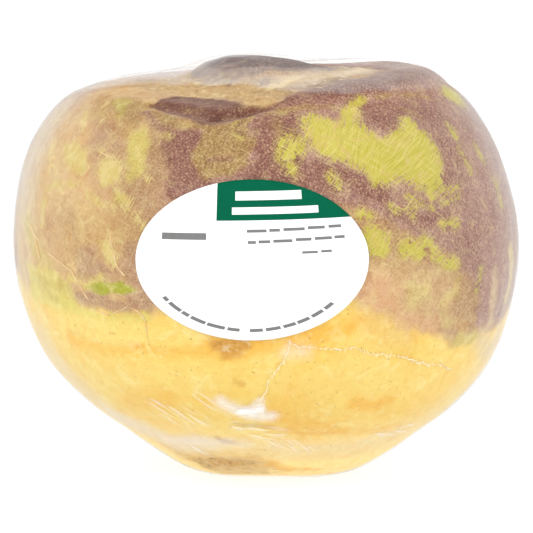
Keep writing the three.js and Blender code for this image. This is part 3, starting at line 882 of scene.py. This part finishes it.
def skinMaterial():
    material, tree = startMaterial("rutabagaSkin")
    place = put(tree, "ShaderNodeTexCoord").outputs["Object"]
    skinUv = feed(tree, "ShaderNodeUVMap", uv_map="skin")
    tint = field(tree, "tint", "Color")
    plumShare = field(tree, "plumShare")
    fine = speckle(tree, place, 0.52, 3, 0.62, 0.3)
    coarse = speckle(tree, place, 2.6, 3, 0.6, 0.6)
    mottle = speckle(tree, place, 3.4, 5, 0.7, 0.4)
    corkNoise = speckle(tree, place, 1.6, 5, 0.74, 0.3)
    blotch = between(tree, coarse, 0.4, 0.62)
    rag = times(tree, minus(tree, fine, 0.5), 2.2)

    yellow = yellowSkin(tree, place, tint, fine, blotch)
    colour = blend(tree, plumShare, yellow, purpleSkin(tree, tint, fine, blotch))
    colour = mottledSkin(tree, skinUv, colour, tint, mottle)
    colour = scuffedSkin(tree, skinUv, colour, rag, blotch, mottle)
    corkMask = between(tree, plus(tree, field(tree, "cork"), rag), -0.4, 0.8)
    colour = blend(tree, corkMask, colour, corkySkin(tree, place, tint, corkNoise))

    bumpHeight = plus(tree, fine, times(tree, plus(tree, coarse, corkNoise), 1.2))
    strength = plus(tree, times(tree, plumShare, 0.12), times(tree, corkMask, 0.35))
    strength = plus(tree, strength, 0.1)
    bump = put(tree, "ShaderNodeBump", {"Height": bumpHeight, "Distance": 0.25 * mm,
                                        "Strength": strength})
    shader = put(tree, "ShaderNodeBsdfPrincipled", {
        "Base Color": colour, "Normal": bump.outputs[0],
        "Roughness": between(tree, coarse, 0.3, 0.7, 0.5, 0.64)})
    shader.inputs["Specular IOR Level"].default_value = 0.35
    finishMaterial(tree, shader)
    return material


skin = skinMaterial()
rootPiece = makeRoot()
rootPiece.data.materials.append(skin)
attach(rootPiece, "root")
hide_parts("root")
print("root ready")


film = {
    "cells": 88,
    "thickness": 0.15,       # mm
    "clearance": 0.25,       # mm kept above the root
    "cadOffset": 0.8,        # mm above the root in the CAD model
    "farOff": 8,             # mm, more than the film ever stands off the root
    "ventAzimuth": 180,
    "ventHeight": 68 * mm,
    "ventRadius": 3 * mm,
    "hazeAndHighlightStrokes": [   # white haze where the film stands off or is crumpled, and the painted highlight on a fold below the label: strength, half-width, softness, path
        # the first three lay a painted highlight, white on the fold of the film below the label
        (0.85, 1.1, 2.4, [(-7, -32.8), (-4, -33.2), (-2, -32)]),
        (0.45, 1.4, 3.4, [(-12, -30), (-9, -32), (-4, -34), (1, -34.6)]),
        (0.3, 0.8, 2.0, [(-3, -31), (-1.5, -29)]),
        (0.35, 0.5, 1.2, [(5.4, -14), (6, -15.6), (8.5, -15.8)]),
        (0.12, 1.8, 3.0, [(5, -16), (9, -16)]),
        (0.2, 1.2, 2.6, [(-16, -46), (-12, -45)]),
        (0.16, 2.0, 4.0, [(-38, -49), (-24, -47), (-8, -47)]),
    ],
    # where fine creases run: half-width in mm, path
    "slantedCreases": [
        (3.6, [(-33, -34), (-22, -37)]), (1.8, [(-17, -29), (-10, -33)]), (3, [(3, -46), (14, -50)]),
        (2, [(-32, -49), (-26, -53)]), (5, [(140, -40), (170, -44)]),
    ],
    "levelCreases": [
        (3.2, [(-7, -39), (3, -41)]), (2, [(-4, -43), (6, -45)]), (2.6, [(40, -45), (52, -43)]),
        (5, [(-120, -38), (-150, -42)]),
    ],
}


def filmHazeAndHighlight(dirs, points):
    # how white the film looks: haze on the crown and where it is crumpled, painted sheen at the sides,
    # and a painted highlight on a fold below the label
    azimuth, latitude = azimuthOf(dirs), latitudeOf(dirs)
    edge = roundBody(azimuth, [
        (-180, 44), (-120, 40), (-90, 38), (-70, 44), (-58, 50), (-44, 58), (-25, 62), (-10, 60),
        (2, 54), (10, 47.6), (16, 46.8), (22, 46.2), (30, 44.4), (38, 45), (60, 43.5), (90, 42),
        (130, 44)])
    away = ease(80, 120, np.abs(azimuth))
    lift = (latitude - edge) * alongDegree + grain(points, 7 * mm, 71, 2)
    lift += 7 * away * grain(points, 18 * mm, 77, 2)
    veil = 0.10 * ease(-0.5 - 5 * away, 0.7 + 5 * away, lift) + 0.03 * ease(4, 16, lift)
    veil *= (0.9 + 0.6 * grain(points, 8 * mm, 73, 2)) * (1 - 0.5 * away)
    clearer = 0.3 * ease(5, 20, azimuth) + 0.3 * ease(35, 60, azimuth)
    veil *= 1 - clearer * ease(150, 100, azimuth)
    veil *= 1 - 0.6 * ease(64, 72, latitude)
    # painted sheen: whiter towards the left and right sides, where the film is seen edge-on, standing in
    # for its reflection of the white surround
    veil += 0.10 * ease(-62, -78, azimuth) * ease(-135, -95, azimuth) * ease(0, 20, latitude)
    veil += 0.05 * ease(64, 80, azimuth) * ease(135, 95, azimuth)
    for strength, width, soft, path in film["hazeAndHighlightStrokes"]:
        distance = strokeDistance(dirs, path) + 0.6 * grain(points, 2.5 * mm, 75, 2)
        veil = np.maximum(veil, strength * ease(width + soft * 0.6, width - soft * 0.6, distance))
    return np.clip(veil, 0, 1)


def creaseField(dirs, points, places):
    distance = np.full(len(dirs), 50.0)
    for width, path in places:
        distance = np.minimum(distance, strokeDistance(dirs, path) - width)
    return ease(1.6, -1.6, distance + 0.8 * grain(points, 3 * mm, 79, 2))


def filmShine(dirs):
    # the film shines less where it lies stuck to the rough crown
    azimuth, latitude = azimuthOf(dirs), latitudeOf(dirs)
    stuck = roundBody(azimuth, [(-180, 0.6), (-90, 0.4), (-60, 0.8), (0, 0.92), (60, 0.8)])
    crown = ease(35, 42, latitude) * stuck
    return 0.8 * (1 - crown) * (0.3 + 0.7 * ease(-58, -40, latitude))


def makeFilm(rootTree):
    dirs, quads = ballGrid(film["cells"])
    overRoot = outerDistance(rootTree, dirs) / mm
    cad = outerDistance(smoothTree("shrink_film"), dirs) / mm
    # where a ray has slipped through the vent hole, the film is laid over the root
    slipped = np.abs(cad - overRoot) > film["farOff"]
    cad = np.where(slipped, overRoot + film["cadOffset"], cad) - settle(dirs)
    reach = np.maximum(cad, overRoot + film["clearance"])
    reach = neighbourSmooth(reach, quads, 2)
    points = core + dirs * reach[:, None] * mm
    azimuth, latitude = azimuthOf(dirs), latitudeOf(dirs)
    pleats = np.sin(np.radians(azimuth) * 46 + 5 * grain(points, 9 * mm, 81)) * ease(-44, -58, latitude)
    pleats *= ease(-80, -68, latitude)
    ripple = 0.12 * grain(points, 7 * mm, 83, 2)
    ripple += 0.10 * grain(points, 2.5 * mm, 85) * ease(40, 50, latitude)
    reach = reach + 0.12 * pleats + ripple * ease(-75, -60, latitude)
    reach = np.maximum(reach, overRoot + film["clearance"] * 0.8)
    points = core + dirs * reach[:, None] * mm
    points[:, 2] = np.maximum(points[:, 2], 0)
    piece = addPiece("clearFilm", points, quads)
    addSkinUv(piece, dirs)
    addFields(piece, veil=filmHazeAndHighlight(dirs, points), shine=filmShine(dirs),
              slanted=creaseField(dirs, points, film["slantedCreases"]),
              level=creaseField(dirs, points, film["levelCreases"]))
    punchVent(piece)
    wall = piece.modifiers.new("wall", "SOLIDIFY")
    wall.thickness = film["thickness"] * mm
    wall.offset = -1
    wall.use_even_offset = False
    return bakeModifiers(piece)


def punchVent(piece):
    # the air hole in the back: faces inside it go, and its edge is drawn to a circle
    turn = math.radians(film["ventAzimuth"])
    shape = bmesh.new()
    shape.from_mesh(piece.data)
    out = Vector((math.sin(turn), -math.cos(turn), 0))
    side = out.cross(Vector((0, 0, 1)))
    aim = Vector((0, 0, film["ventHeight"]))

    def flat(point):
        rel = point - aim
        return Vector((rel.dot(side), rel.z)), rel.dot(out) > 0

    radius = film["ventRadius"]
    inside = []
    for face in shape.faces:
        spot, front = flat(face.calc_center_median())
        if front and spot.length < radius:
            inside.append(face)
    bmesh.ops.delete(shape, geom=inside, context="FACES")
    for vert in shape.verts:
        if vert.is_boundary:
            spot, front = flat(vert.co)
            ring = spot.normalized() * radius
            vert.co += side * (ring.x - spot.x) + Vector((0, 0, ring.y - spot.y))
    shape.to_mesh(piece.data)
    shape.free()


def bakeModifiers(piece):
    # the finished shape as a plain mesh, with the modifiers gone
    graph = bpy.context.evaluated_depsgraph_get()
    mesh = bpy.data.meshes.new_from_object(piece.evaluated_get(graph), depsgraph=graph)
    old = piece.data
    piece.modifiers.clear()
    piece.data = mesh
    bpy.data.meshes.remove(old)
    mesh.name = piece.name
    return piece


def filmMaterial():
    material, tree = startMaterial("shrinkFilm")
    skinUv = feed(tree, "ShaderNodeUVMap", uv_map="skin")
    place = put(tree, "ShaderNodeTexCoord").outputs["Object"]
    fibre = streaks(tree, skinUv, 12, 16, 0.8)
    bumpHeight = plus(tree, fibre, times(tree, speckle(tree, place, 4, 2), 2.0))
    relief = {"Height": bumpHeight, "Strength": 0.12, "Distance": 0.3 * mm}
    bump = feed(tree, "ShaderNodeBump", relief)
    veil = times(tree, field(tree, "veil"), between(tree, fibre, 0.2, 0.8, 0.75, 1.15), clamp=True)
    slanted = between(tree, streaks(tree, skinUv, -42, 9, 1.1, 1), 0.44, 0.74, 0.0, 0.24)
    level = between(tree, streaks(tree, skinUv, -9, 8, 1.1, 1), 0.44, 0.74, 0.0, 0.24)
    creases = most(tree, times(tree, slanted, field(tree, "slanted")),
                   times(tree, level, field(tree, "level")))
    veil = most(tree, veil, creases)
    clear = put(tree, "ShaderNodeBsdfTransparent")
    gloss = put(tree, "ShaderNodeBsdfGlossy", {"Normal": bump})
    gloss.inputs["Roughness"].default_value = 0.16
    mirror = put(tree, "ShaderNodeFresnel", {"Normal": bump})
    mirror.inputs["IOR"].default_value = 1.48
    # only the outside shines: seen from within the wall, a mirror would swallow the light
    inside = put(tree, "ShaderNodeNewGeometry").outputs["Backfacing"]
    outside = times(tree, minus(tree, 1.0, inside), field(tree, "shine"))
    shine = times(tree, mirror.outputs[0], outside)
    shiny = put(tree, "ShaderNodeMixShader", {0: shine, 1: clear.outputs[0], 2: gloss.outputs[0]})
    # white haze, which also carries the painted sheen at the sides and the painted highlight below the
    # label
    whiteHazeAndHighlight = put(tree, "ShaderNodeBsdfDiffuse")
    whiteHazeAndHighlight.inputs["Color"].default_value = (1, 1, 1, 1)
    whole = put(tree, "ShaderNodeMixShader", {0: veil, 1: shiny.outputs[0], 2: whiteHazeAndHighlight.outputs[0]})
    finishMaterial(tree, whole)
    return material


def treeOf(piece):
    return BVHTree.FromObject(piece, bpy.context.evaluated_depsgraph_get())


bpy.context.view_layer.update()
filmLook = filmMaterial()
filmPiece = makeFilm(treeOf(rootPiece))
filmPiece.data.materials.clear()
filmPiece.data.materials.append(filmLook)
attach(filmPiece, "root")
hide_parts("shrink_film")
print("film ready")


labelLow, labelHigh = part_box("paper_label")
label = {
    "width": 57.4 * mm,      # laid flat
    "height": 37.4 * mm,
    "turn": 1.2,             # degrees, its right end up
    "thickness": 0.12 * mm,
    "gap": 0.1 * mm,
    "raised": 0.15 * mm,     # above the middle of the CAD model's label
    "uvUnit": 50 * mm,
    "rings": 28,
    "spokes": 180,
}


def makeLabel(filmTree):
    centreAzimuth = math.asin((labelLow.x + labelHigh.x) / 2 / girth)
    centreHeight = (labelLow.z + labelHigh.z) / 2 + label["raised"]
    turn = math.radians(label["turn"])
    rings, spokes = label["rings"], label["spokes"]
    flat = [(0.0, 0.0)]
    for ring in range(1, rings + 1):
        share = ring / rings
        for spoke in range(spokes):
            angle = 2 * math.pi * spoke / spokes
            flat.append((share * math.cos(angle), share * math.sin(angle)))
    under, over = [], []
    for s, t in flat:
        x, y = s * label["width"] / 2, t * label["height"] / 2
        azimuth = centreAzimuth + (x * math.cos(turn) - y * math.sin(turn)) / girth
        height = centreHeight + x * math.sin(turn) + y * math.cos(turn)
        out = Vector((math.sin(azimuth), -math.cos(azimuth), 0))
        spot, normal, _, _ = filmTree.ray_cast(out * castFrom + Vector((0, 0, height)), -out)
        lift = label["gap"] + 0.05 * mm * (1 + noise.noise(Vector((x, y, 0)) / (6 * mm)))
        under.append(spot + normal * lift)
        over.append(spot + normal * (lift + label["thickness"]))
    count = len(flat)

    def at(ring, spoke):
        return 0 if ring == 0 else 1 + (ring - 1) * spokes + spoke % spokes

    faces = []
    for spoke in range(spokes):
        faces.append((count, count + at(1, spoke), count + at(1, spoke + 1)))
        faces.append((0, at(1, spoke + 1), at(1, spoke)))
        for ring in range(1, rings):
            a, b = at(ring, spoke), at(ring + 1, spoke)
            c, d = at(ring + 1, spoke + 1), at(ring, spoke + 1)
            faces.append((count + a, count + b, count + c, count + d))
            faces.append((d, c, b, a))
        a, b = at(rings, spoke), at(rings, spoke + 1)
        faces.append((a, b, count + b, count + a))
    piece = addPiece("paperLabel", under + over, faces)
    uv = piece.data.uv_layers.new(name="label")
    across, up = label["width"] / 2 / label["uvUnit"], label["height"] / 2 / label["uvUnit"]
    for loop, corner in zip(piece.data.loops, uv.data):
        s, t = flat[loop.vertex_index % count]
        corner.uv = (s * across, t * up)
    return piece


printing = {
    "panel": (-8.2, 9.4),    # left and lower edge, mm from the label's middle
    "panelInk": (0, 84, 58),
    "barInk": (40, 38, 38),
    # word bars in place of lettering: middle x, middle y, half length, half height, in mm
    "panelBars": [(4.6, 15.0, 8.2, 1.0), (6.2, 11.6, 10.6, 0.8)],
    "wordBars": [
        (-16.2, 5.8, 5.6, 0.8),
        (1.6, 7.0, 2.4, 0.36), (5.9, 7.1, 1.3, 0.36), (10.6, 7.2, 2.6, 0.36), (16.0, 7.4, 2.1, 0.36),
        (20.6, 7.5, 1.6, 0.36),
        (0.4, 4.4, 1.0, 0.36), (3.4, 4.5, 1.4, 0.36), (7.8, 4.6, 2.3, 0.36), (12.8, 4.8, 1.9, 0.36),
        (17.6, 4.9, 2.1, 0.36), (21.6, 5.0, 1.3, 0.36),
        (14.2, 1.8, 1.9, 0.3), (18.2, 1.9, 1.3, 0.3),
    ],
    # the line that follows the lower edge: share of the way to the edge, start and end angle
    "rimShare": 0.87,
    "rimBars": [(211, 215), (216.6, 226), (227, 232), (233.4, 243), (244, 254.6), (256, 263),
                (268.6, 276), (277.6, 286), (287.6, 295), (296, 303.6), (305.2, 313), (314.6, 321)],
}


def labelMaterial():
    material, tree = startMaterial("labelPaper")
    uv = feed(tree, "ShaderNodeUVMap", uv_map="label")
    split = put(tree, "ShaderNodeSeparateXYZ", {0: uv})
    x = times(tree, split.outputs[0], label["uvUnit"] / mm)
    y = times(tree, split.outputs[1], label["uvUnit"] / mm)
    soft = 0.06              # mm, half the blur at the edge of the printing
    softTurn = 0.003         # radians, the same along the rim

    def bar(middleX, middleY, halfLength, halfHeight):
        across = calc(tree, "ABSOLUTE", minus(tree, x, middleX))
        up = calc(tree, "ABSOLUTE", minus(tree, y, middleY))
        side = between(tree, across, halfLength + soft, halfLength - soft)
        return times(tree, side, between(tree, up, halfHeight + soft, halfHeight - soft))

    def joined(masks):
        total = masks[0]
        for mask in masks[1:]:
            total = most(tree, total, mask)
        return total

    # the rim's line of printing, in shares of the way from the middle to the edge
    acrossShare = calc(tree, "DIVIDE", x, label["width"] / 2 / mm)
    upShare = calc(tree, "DIVIDE", y, label["height"] / 2 / mm)
    squares = [times(tree, share, share) for share in (acrossShare, upShare)]
    reach = calc(tree, "SQRT", plus(tree, *squares))
    turn = calc(tree, "ARCTAN2", upShare, acrossShare)
    offRim = calc(tree, "ABSOLUTE", minus(tree, reach, printing["rimShare"]))
    nearRim = between(tree, offRim, 0.025, 0.018)
    rimMasks = []
    for start, end in printing["rimBars"]:
        middle = math.radians((start + end) / 2 - 360)
        half = math.radians((end - start) / 2)
        off = calc(tree, "ABSOLUTE", minus(tree, turn, middle))
        rimMasks.append(between(tree, off, half + softTurn, half - softTurn))
    rimText = times(tree, nearRim, joined(rimMasks))

    left, low = printing["panel"]
    panel = times(tree, between(tree, x, left - soft, left + soft),
                  between(tree, y, low - soft, low + soft))
    place = put(tree, "ShaderNodeTexCoord").outputs["Object"]
    pulp = speckle(tree, place, 0.8, 4, 0.6)
    colour = blend(tree, pulp, tone(252, 252, 251), tone(255, 255, 255))
    words = most(tree, joined([bar(*b) for b in printing["wordBars"]]), rimText)
    wordInk = blend(tree, pulp, tone(*printing["barInk"]), tone(78, 76, 76))
    colour = blend(tree, times(tree, words, 0.85), colour, wordInk)
    green = blend(tree, pulp, tone(*printing["panelInk"]), tone(0, 98, 70))
    colour = blend(tree, panel, colour, green)
    colour = blend(tree, joined([bar(*b) for b in printing["panelBars"]]), colour, tone(250, 251, 250))
    bump = put(tree, "ShaderNodeBump", {"Height": pulp, "Strength": 0.06, "Distance": 0.05 * mm})
    shader = put(tree, "ShaderNodeBsdfPrincipled", {"Base Color": colour, "Normal": bump.outputs[0]})
    shader.inputs["Roughness"].default_value = 0.6
    shader.inputs["Specular IOR Level"].default_value = 0.05
    finishMaterial(tree, shader)
    return material


# the hair roots that lie along the skin, and the film's weld seam
threads = {
    "hairRoot": {
        "radius": 0.15 * mm, "step": 0.5 * mm, "wobble": 0.3 * mm, "rise": 0.06 * mm,
        "crimp": 0.0, "spacing": 1.4 * mm,
        "paths": [
            [(-73, 9), (-69, 8), (-64, 5.5), (-58.5, 3), (-53, 1.3), (-49.5, 0), (-46.5, -3),
             (-44.5, -5.5), (-42, -8), (-39, -9), (-36, -8), (-32.5, -6.5), (-30, -7.5),
             (-28.5, -9.5), (-28.7, -12.5), (-28.5, -15)],
            [(-66, 6.5), (-63.5, 2.5), (-62, -0.5)],
            [(-45, 27), (-38.5, 25.5)],
            [(-37.4, 9), (-36.4, 6), (-35, 2), (-33, 0.5)],
        ],
    },
    "weldSeam": {
        "radius": 0.1 * mm, "step": 0.35 * mm, "wobble": 1.6 * mm, "rise": 0.0,
        "crimp": 0.8 * mm, "spacing": 1.4 * mm,
        "paths": [
            [(5.4, -13.8), (7, -14.6), (10, -14.8), (13, -15), (15.5, -15.3), (18, -15.7),
             (20.5, -15.3), (23, -16.5), (27, -17.5), (31, -18), (35.5, -19), (40.5, -21),
             (47, -22), (53, -24)],
            [(5.4, -13.8), (5, -16), (4, -18), (2.2, -20.5), (0.7, -23), (0, -26), (-1.5, -29),
             (-3, -31)],
        ],
    },
}


def threadTree():
    tree = bpy.data.node_groups.new("thread", "GeometryNodeTree")
    sockets = {}
    kinds = [("Path", "Geometry"), ("Step", "Float"), ("Radius", "Float"), ("Wobble", "Float"),
             ("Crimp", "Float"), ("Spacing", "Float"), ("Material", "Material")]
    for name, kind in kinds:
        socket = tree.interface.new_socket(name=name, in_out="INPUT", socket_type="NodeSocket" + kind)
        sockets[name] = socket.identifier
    tree.interface.new_socket(name="Thread", in_out="OUTPUT", socket_type="NodeSocketGeometry")
    given = put(tree, "NodeGroupInput").outputs
    curve = feed(tree, "GeometryNodeMeshToCurve", {"Mesh": given["Path"]})
    even = feed(tree, "GeometryNodeResampleCurve", {"Curve": curve, "Length": given["Step"]},
                mode="LENGTH")
    place = feed(tree, "GeometryNodeInputPosition")
    wander = put(tree, "ShaderNodeTexNoise", {"Vector": place, "Scale": 800.0, "Detail": 1.0})
    centred = feed(tree, "ShaderNodeVectorMath", {0: wander.outputs["Color"], 1: (0.5, 0.5, 0.5)},
                   operation="SUBTRACT")
    sway = feed(tree, "ShaderNodeVectorMath", {0: centred, "Scale": given["Wobble"]},
                operation="SCALE")
    bent = feed(tree, "GeometryNodeSetPosition", {"Geometry": even, "Offset": sway})
    knots = put(tree, "ShaderNodeTexNoise", {"Vector": place, "Scale": 420.0, "Detail": 1.0})
    thick = times(tree, given["Radius"], between(tree, knots.outputs["Fac"], 0.35, 0.65, 0.3, 1.5))
    sized = feed(tree, "GeometryNodeSetCurveRadius", {"Curve": bent, "Radius": thick})
    ring = feed(tree, "GeometryNodeCurvePrimitiveCircle", {"Resolution": 8, "Radius": 1.0})
    tube = feed(tree, "GeometryNodeCurveToMesh", {
        "Curve": sized, "Profile Curve": ring, "Scale": thick, "Fill Caps": True})
    # small upright crimps at even steps along the thread, left out where their size is zero
    spaced = feed(tree, "GeometryNodeResampleCurve", {"Curve": bent, "Length": given["Spacing"]},
                  mode="LENGTH")
    share = put(tree, "FunctionNodeRandomValue", {2: 0.25, 3: 1.0, "Seed": 7},
                data_type="FLOAT").outputs[1]
    lean = feed(tree, "FunctionNodeRandomValue", {0: (-0.5, -0.5, 0), 1: (0.5, 0.5, 6)},
                data_type="FLOAT_VECTOR")
    bead = feed(tree, "GeometryNodeMeshIcoSphere", {"Radius": 1.0, "Subdivisions": 2})
    size = feed(tree, "ShaderNodeCombineXYZ", {
        0: given["Radius"], 1: given["Radius"], 2: times(tree, given["Crimp"], share)})
    crimped = feed(tree, "FunctionNodeCompare", {0: given["Crimp"], 1: 0.0},
                   operation="GREATER_THAN")
    crimps = feed(tree, "GeometryNodeInstanceOnPoints", {
        "Points": spaced, "Instance": bead, "Rotation": lean, "Scale": size, "Selection": crimped,
    })
    joined = put(tree, "GeometryNodeJoinGeometry")
    tree.links.new(crimps, joined.inputs[0])
    tree.links.new(tube, joined.inputs[0])
    smooth = feed(tree, "GeometryNodeSetShadeSmooth", {"Geometry": joined.outputs[0]})
    real = feed(tree, "GeometryNodeRealizeInstances", {"Geometry": smooth})
    painted = feed(tree, "GeometryNodeSetMaterial", {
        "Geometry": real, "Material": given["Material"]})
    put(tree, "NodeGroupOutput", {0: painted})
    return tree, sockets


def surfacePoint(surface, azimuth, latitude, rise):
    direction = Vector(toward(azimuth, latitude))
    hit, normal, _, _ = surface.ray_cast(Vector(core) + direction * castFrom, -direction)
    return hit + normal * rise


def makeThread(name, surface, material):
    plan = threads[name]
    points, edges = [], []
    for path in plan["paths"]:
        along = np.array(path, float)
        steps = np.linspace(0, len(along) - 1, 4 * len(along))
        azimuths = np.interp(steps, range(len(along)), along[:, 0])
        latitudes = np.interp(steps, range(len(along)), along[:, 1])
        first = len(points)
        points += [surfacePoint(surface, *spot, plan["rise"]) for spot in zip(azimuths, latitudes)]
        edges += [(k, k + 1) for k in range(first, len(points) - 1)]
    mesh = bpy.data.meshes.new(name)
    mesh.from_pydata(points, edges, [])
    piece = bpy.data.objects.new(name, mesh)
    scene.collection.objects.link(piece)
    tree, sockets = threadTree()
    grow = piece.modifiers.new("thread", "NODES")
    grow.node_group = tree
    for size in ("step", "radius", "wobble", "crimp", "spacing"):
        grow[sockets[size.capitalize()]] = plan[size]
    grow[sockets["Material"]] = material
    bpy.context.view_layer.update()
    bakeModifiers(piece)
    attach(piece, "root")
    return piece


def plainMaterial(name, colour, roughness):
    material, tree = startMaterial(name)
    place = put(tree, "ShaderNodeTexCoord").outputs["Object"]
    light = blend(tree, speckle(tree, place, 1.5), colour, blend(tree, 0.35, colour, (1, 1, 1, 1)))
    shader = put(tree, "ShaderNodeBsdfPrincipled", {"Base Color": light, "Roughness": roughness})
    finishMaterial(tree, shader)
    return material


hairSkin = plainMaterial("hairRootSkin", ink(232, 190, 108), 0.6)
hairPiece = makeThread("hairRoot", treeOf(rootPiece), hairSkin)
meltedFilm = plainMaterial("meltedFilm", ink(254, 232, 180), 0.3)
seamPiece = makeThread("weldSeam", treeOf(filmPiece), meltedFilm)
print("threads ready")


bpy.context.view_layer.update()
labelPiece = makeLabel(treeOf(filmPiece))
labelPiece.data.materials.append(labelMaterial())
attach(labelPiece, "root")
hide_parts("paper_label")
print("label ready")
